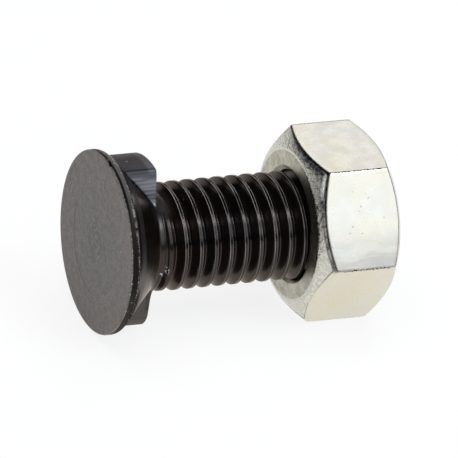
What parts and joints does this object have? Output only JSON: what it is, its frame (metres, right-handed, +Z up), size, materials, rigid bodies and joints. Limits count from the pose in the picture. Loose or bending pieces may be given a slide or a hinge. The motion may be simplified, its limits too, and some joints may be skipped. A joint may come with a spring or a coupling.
{
  "type": "plow bolt",
  "caption": "Black plow bolt with a flat countersunk head, two opposite nibs under it and a coarse thread, carrying a bright plain hex nut.",
  "frame": {"origin": "centre of the bounding box at floor level, with the pair lying at rest on the rim of the head and one flat of the nut", "axes": "+X along the bolt from head to end, sloping down by the small angle of the rest, +Z up"},
  "size_m": [0.0334, 0.0216, 0.0201],
  "materials": {
    "black_steel": "black oxide, oiled, with a worn grey head",
    "zinc_plate": "bright zinc plate, satin"
  },
  "bodies": {
    "bolt": {"plow_bolt": "black_steel"},
    "nut": {"hex_nut": "zinc_plate"}
  },
  "joints": [
    {"name": "nut_turn", "type": "hinge", "parent": "bolt", "child": "nut", "pos_m": [0.01086, 0, 0.00944], "axis": [0.9997, 0, -0.0226], "continuous": true}
  ]
}
